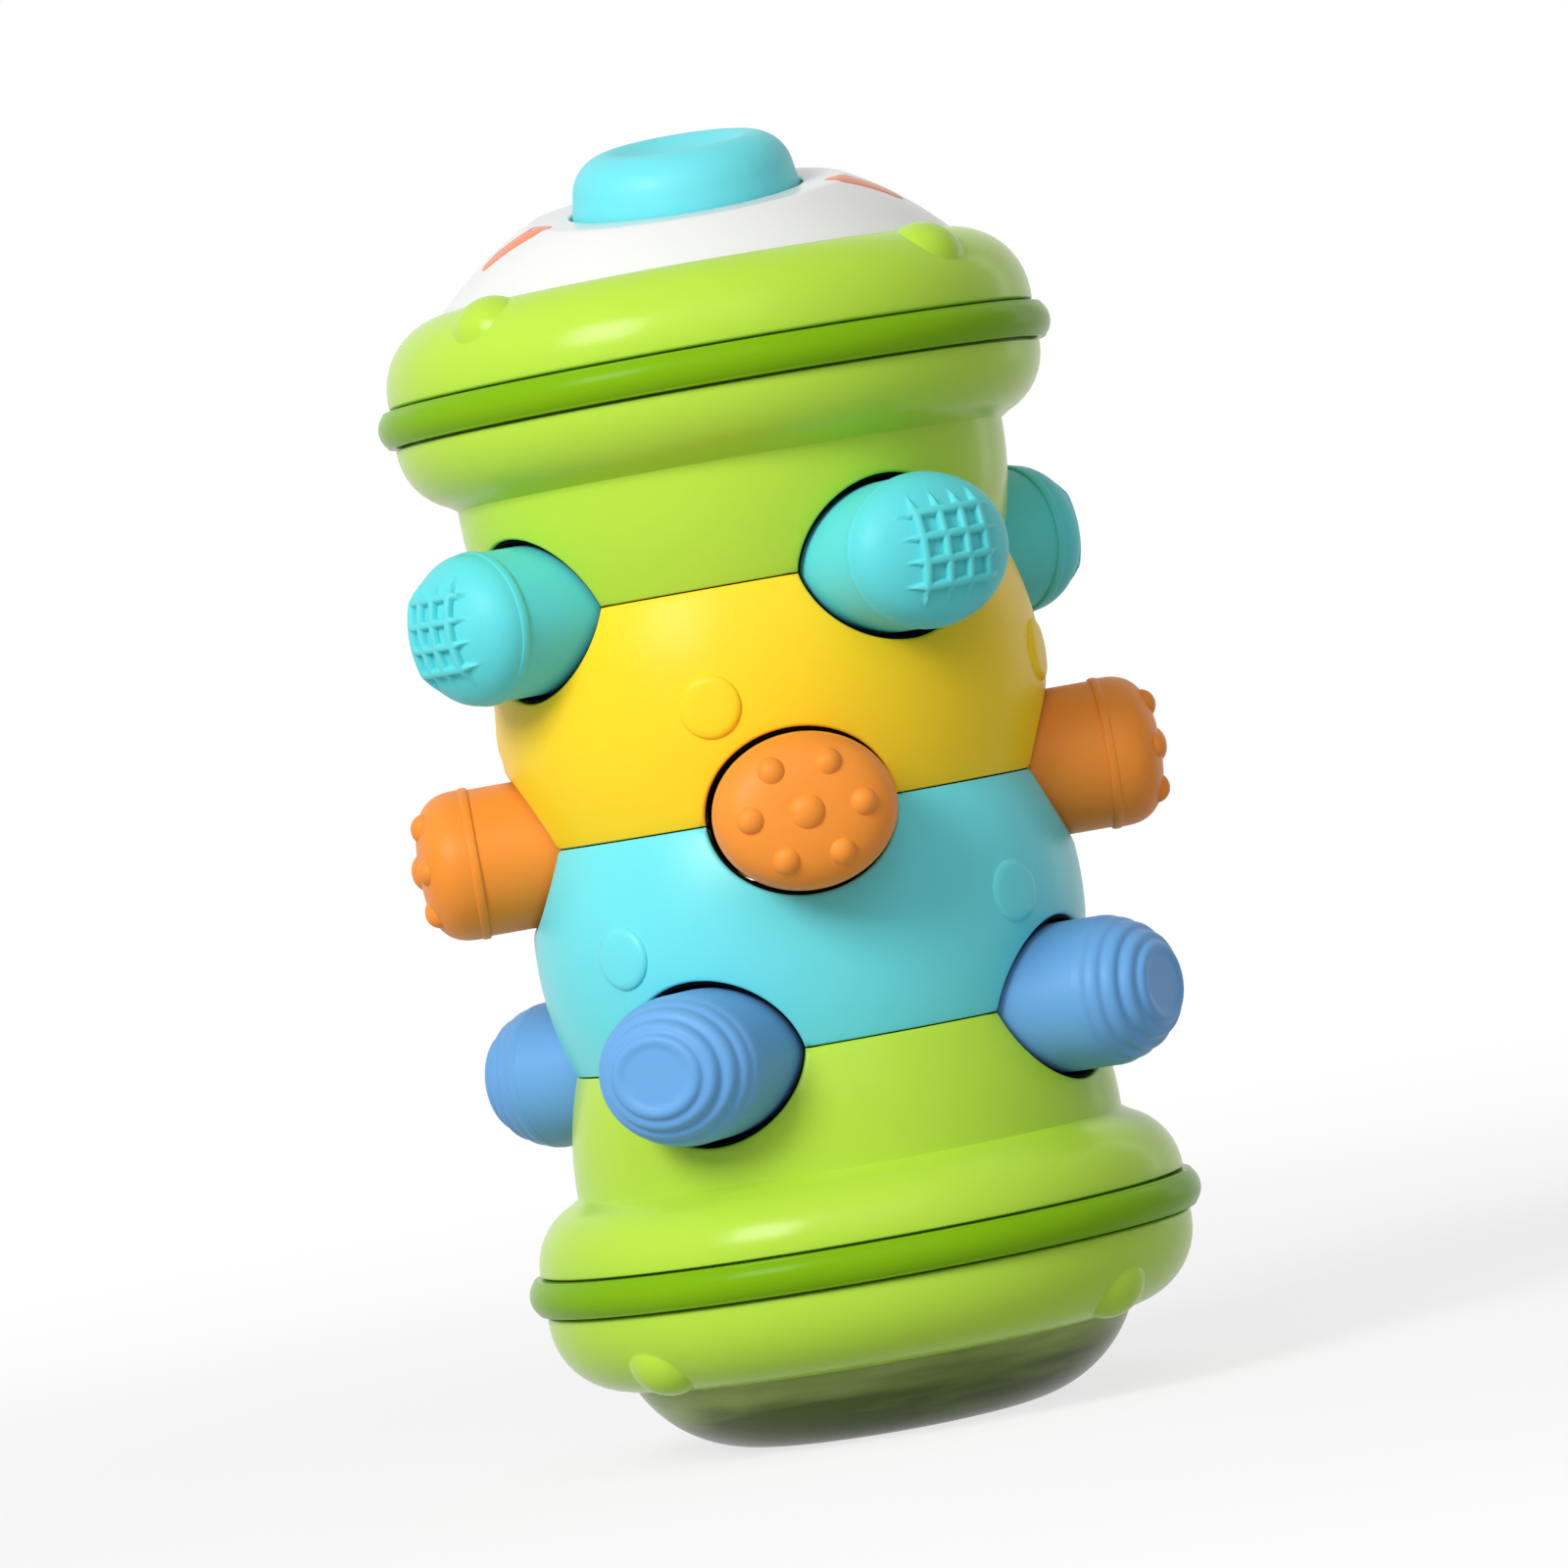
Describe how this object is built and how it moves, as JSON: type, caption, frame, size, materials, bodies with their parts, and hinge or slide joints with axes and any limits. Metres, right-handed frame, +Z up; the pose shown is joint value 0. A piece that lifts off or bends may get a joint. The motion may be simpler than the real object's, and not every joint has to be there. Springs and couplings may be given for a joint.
{
  "type": "push-peg roller toy",
  "caption": "Baby's push-peg toy: stacked round shells between flanged ends, textured pegs that slide through in opposite pairs, and a squeaking button on top.",
  "frame": {"origin": "centre of the flat base that the toy stands on", "axes": "+Z up along the body's axis, front of the toy towards -Y"},
  "size_m": [0.1174, 0.1174, 0.2006],
  "materials": {
    "green_shell": "glossy moulded light green plastic",
    "dark_green_band": "glossy moulded dark green plastic",
    "yellow_shell": "glossy moulded yellow plastic",
    "cyan_shell": "glossy moulded cyan plastic",
    "white_dome": "glossy moulded white plastic",
    "coral_mark": "inlaid coral plastic",
    "teal_button": "satin soft-touch plastic",
    "olive_window": "smoky translucent olive plastic",
    "white_rubber": "soft white rubber",
    "grey_plastic": "plain moulded plastic",
    "zinc_screw": "zinc plated self-tapping screw",
    "black_guide": "matt black moulded plastic",
    "teal_sleeve": "satin moulded teal plastic",
    "teal_soft_cap": "soft teal rubber with a raised texture",
    "orange_sleeve": "satin moulded orange plastic",
    "orange_soft_cap": "soft orange rubber with a raised texture",
    "blue_sleeve": "satin moulded blue plastic",
    "blue_soft_cap": "soft blue rubber with a raised texture"
  },
  "bodies": {
    "body": {"base_dome": "olive_window", "bottom_cover": "green_shell", "bottom_band": "dark_green_band", "lower_neck": "green_shell", "cyan_shell": "cyan_shell", "yellow_shell": "yellow_shell", "upper_neck": "green_shell", "top_band": "dark_green_band", "top_cover": "green_shell", "top_dome": "white_dome", "dome_marks": "coral_mark", "squeaker_bellows": "white_rubber", "squeaker_reed": "grey_plastic", "upper_seam_screws": "zinc_screw", "middle_seam_screws": "zinc_screw", "lower_seam_screws": "zinc_screw", "upper_peg_guide": "black_guide", "middle_peg_guide": "black_guide", "lower_peg_guide": "black_guide"},
    "button": {"button": "teal_button"},
    "teal_pair_1": {"teal_peg_1": "teal_sleeve", "teal_peg_3": "teal_sleeve", "teal_cap_1": "teal_soft_cap", "teal_cap_3": "teal_soft_cap", "teal_rail_upper": "teal_sleeve", "teal_rail_lower": "teal_sleeve"},
    "teal_pair_2": {"teal_peg_2": "teal_sleeve", "teal_peg_4": "teal_sleeve", "teal_cap_2": "teal_soft_cap", "teal_cap_4": "teal_soft_cap", "teal_cross_rail": "teal_sleeve"},
    "orange_pair_1": {"orange_peg_1": "orange_sleeve", "orange_peg_3": "orange_sleeve", "orange_cap_1": "orange_soft_cap", "orange_cap_3": "orange_soft_cap", "orange_rail_upper": "orange_sleeve", "orange_rail_lower": "orange_sleeve"},
    "orange_pair_2": {"orange_peg_2": "orange_sleeve", "orange_peg_4": "orange_sleeve", "orange_cap_2": "orange_soft_cap", "orange_cap_4": "orange_soft_cap", "orange_cross_rail": "orange_sleeve"},
    "blue_pair_1": {"blue_peg_1": "blue_sleeve", "blue_peg_3": "blue_sleeve", "blue_cap_1": "blue_soft_cap", "blue_cap_3": "blue_soft_cap", "blue_rail_upper": "blue_sleeve", "blue_rail_lower": "blue_sleeve"},
    "blue_pair_2": {"blue_peg_2": "blue_sleeve", "blue_peg_4": "blue_sleeve", "blue_cap_2": "blue_soft_cap", "blue_cap_4": "blue_soft_cap", "blue_cross_rail": "blue_sleeve"}
  },
  "joints": [
    {"name": "teal_slide_1", "type": "slide", "parent": "body", "child": "teal_pair_1", "axis": [0.5, -0.866, 0], "range_m": [-0.0098, 0.0098]},
    {"name": "teal_slide_2", "type": "slide", "parent": "body", "child": "teal_pair_2", "axis": [0.866, 0.5, 0], "range_m": [-0.0098, 0.0098]},
    {"name": "orange_slide_1", "type": "slide", "parent": "body", "child": "orange_pair_1", "axis": [0, -1, 0], "range_m": [-0.0098, 0.0098]},
    {"name": "orange_slide_2", "type": "slide", "parent": "body", "child": "orange_pair_2", "axis": [1, 0, 0], "range_m": [-0.0098, 0.0098]},
    {"name": "blue_slide_1", "type": "slide", "parent": "body", "child": "blue_pair_1", "axis": [-0.5, -0.866, 0], "range_m": [-0.0098, 0.0098]},
    {"name": "blue_slide_2", "type": "slide", "parent": "body", "child": "blue_pair_2", "axis": [0.866, -0.5, 0], "range_m": [-0.0098, 0.0098]},
    {"name": "button_press", "type": "slide", "parent": "body", "child": "button", "axis": [0, 0.1736, -0.9848], "range_m": [0, 0.0025], "stiffness_N_per_m": 800, "springref_m": -0.001, "deforming": ["squeaker_bellows"]}
  ]
}
